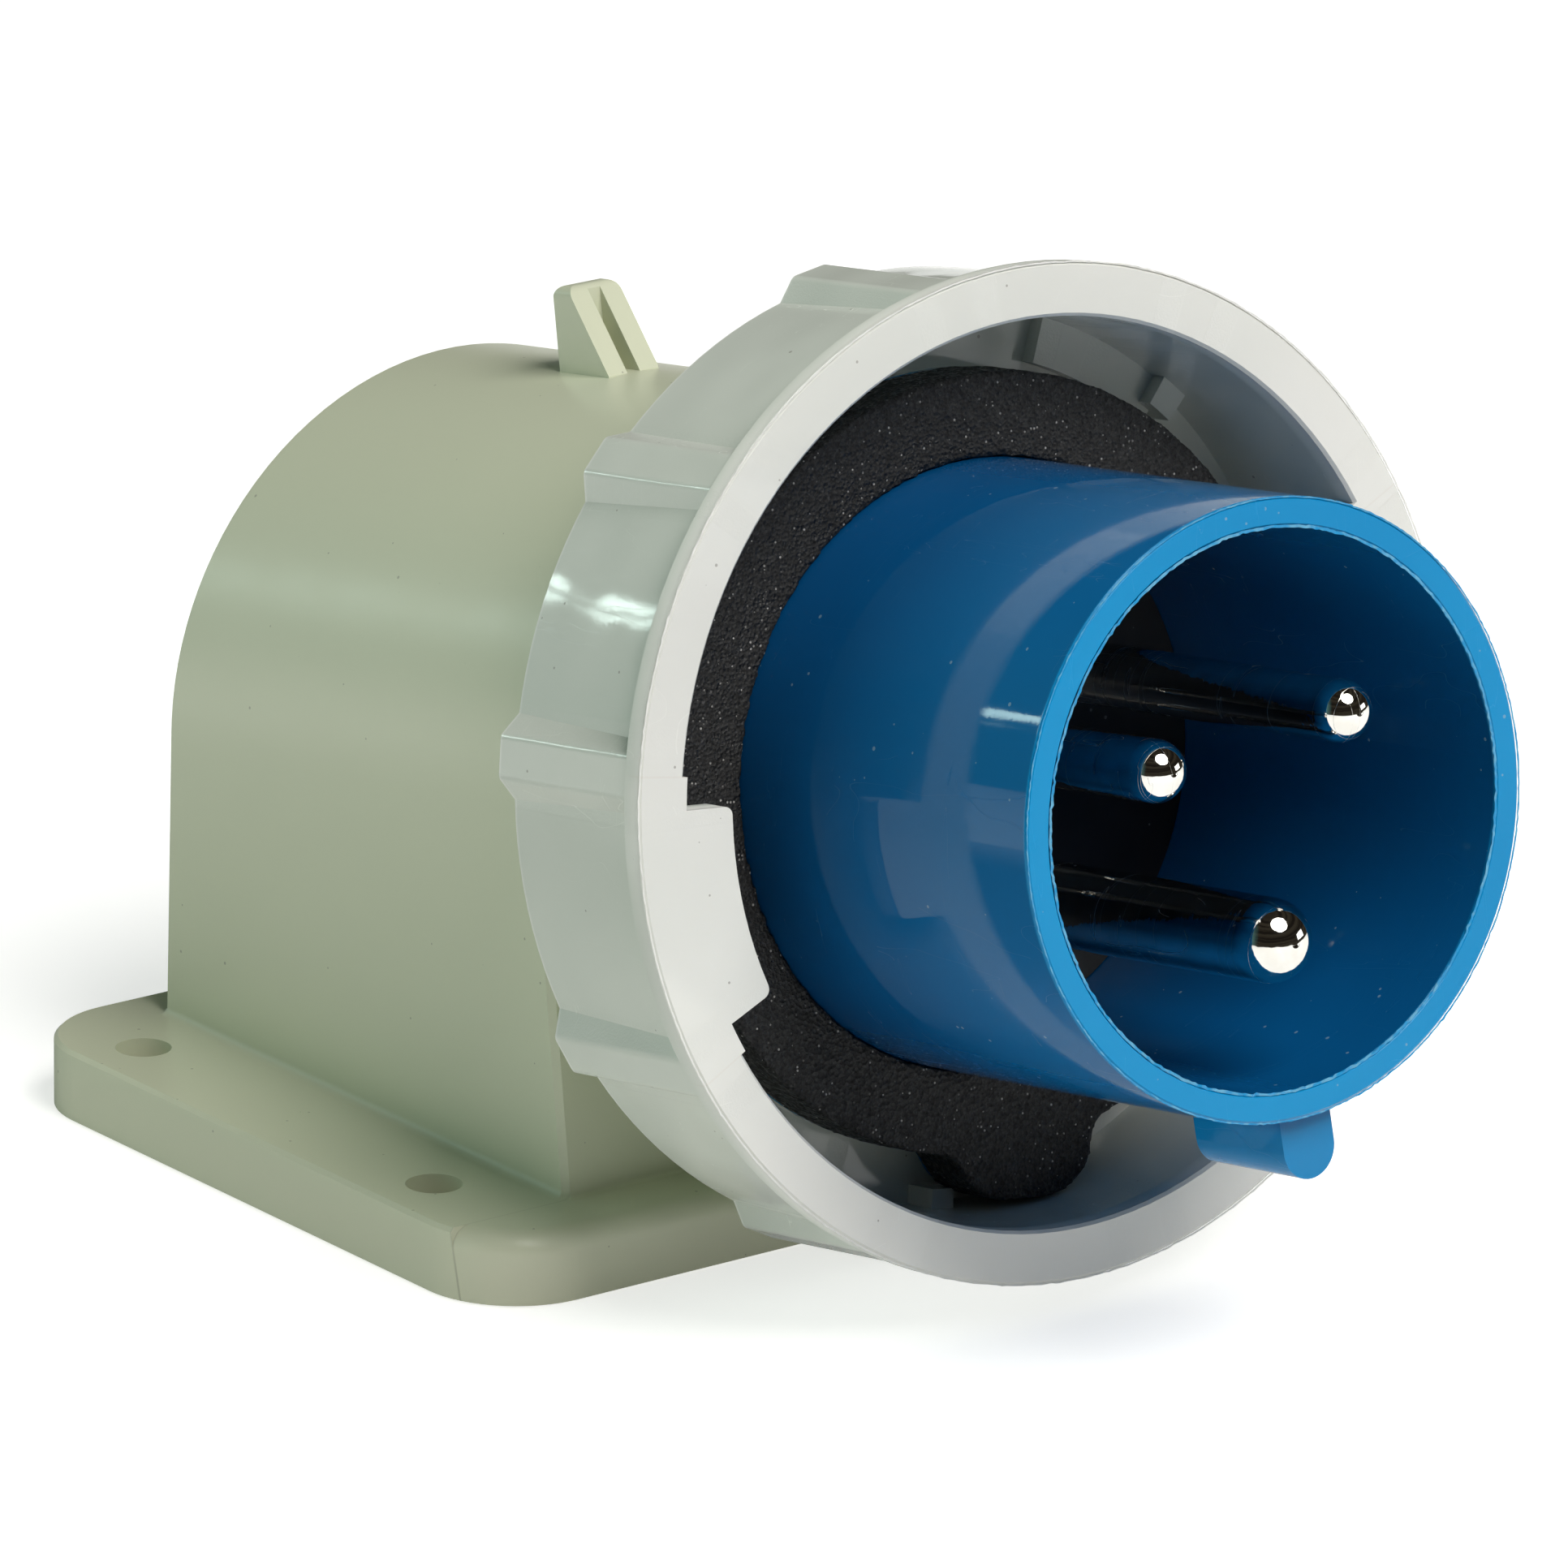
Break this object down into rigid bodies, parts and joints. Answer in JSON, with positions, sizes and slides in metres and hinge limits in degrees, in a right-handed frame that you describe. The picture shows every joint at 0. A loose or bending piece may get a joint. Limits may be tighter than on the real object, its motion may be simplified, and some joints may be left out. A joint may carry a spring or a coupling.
{
  "type": "surface-mounting plug inlet",
  "caption": "Arched surface-mounting inlet: a plug sleeve with round pins points forward and up from a flanged housing, inside a turning bayonet locking ring.",
  "frame": {"origin": "centre of the four fixing holes, on the mounting face", "axes": "+Z out of the mounting surface, -Y the side that the plug points to, +X to the right seen from the front. The plug's axis is (0, -cos 9.2 deg, sin 9.2 deg)."},
  "size_m": [0.0962, 0.1391, 0.0984],
  "materials": {
    "housing": "semi-gloss moulding",
    "locking_ring": "gloss moulding with fine scratches",
    "sleeve": "gloss moulding",
    "foam": "fine open foam",
    "black_plastic": "fine grain",
    "contact": "bright nickel plating",
    "seal": "smooth",
    "steel": "zinc-plated"
  },
  "bodies": {
    "inlet": {"housing": "housing", "sleeve": "sleeve", "front_gasket": "foam", "contact_carrier": "black_plastic", "pin_retainer": "black_plastic", "pin_line": "contact", "pin_neutral": "contact", "pin_earth": "contact", "pin_seal_line": "seal", "pin_seal_neutral": "seal", "pin_seal_earth": "seal", "flange_seal": "seal", "base_seal": "seal", "clamp_line": "steel", "clamp_neutral": "steel", "clamp_earth": "steel", "terminal_screws": "steel", "retainer_screws": "steel", "insert_screws": "steel"},
    "ring": {"locking_ring": "locking_ring"}
  },
  "joints": [
    {"name": "ring_turn", "type": "hinge", "parent": "inlet", "child": "ring", "pos_m": [0, -0.0649, 0.05095], "axis": [0, -0.9871, 0.1599], "range_deg": [-45, 0]}
  ]
}
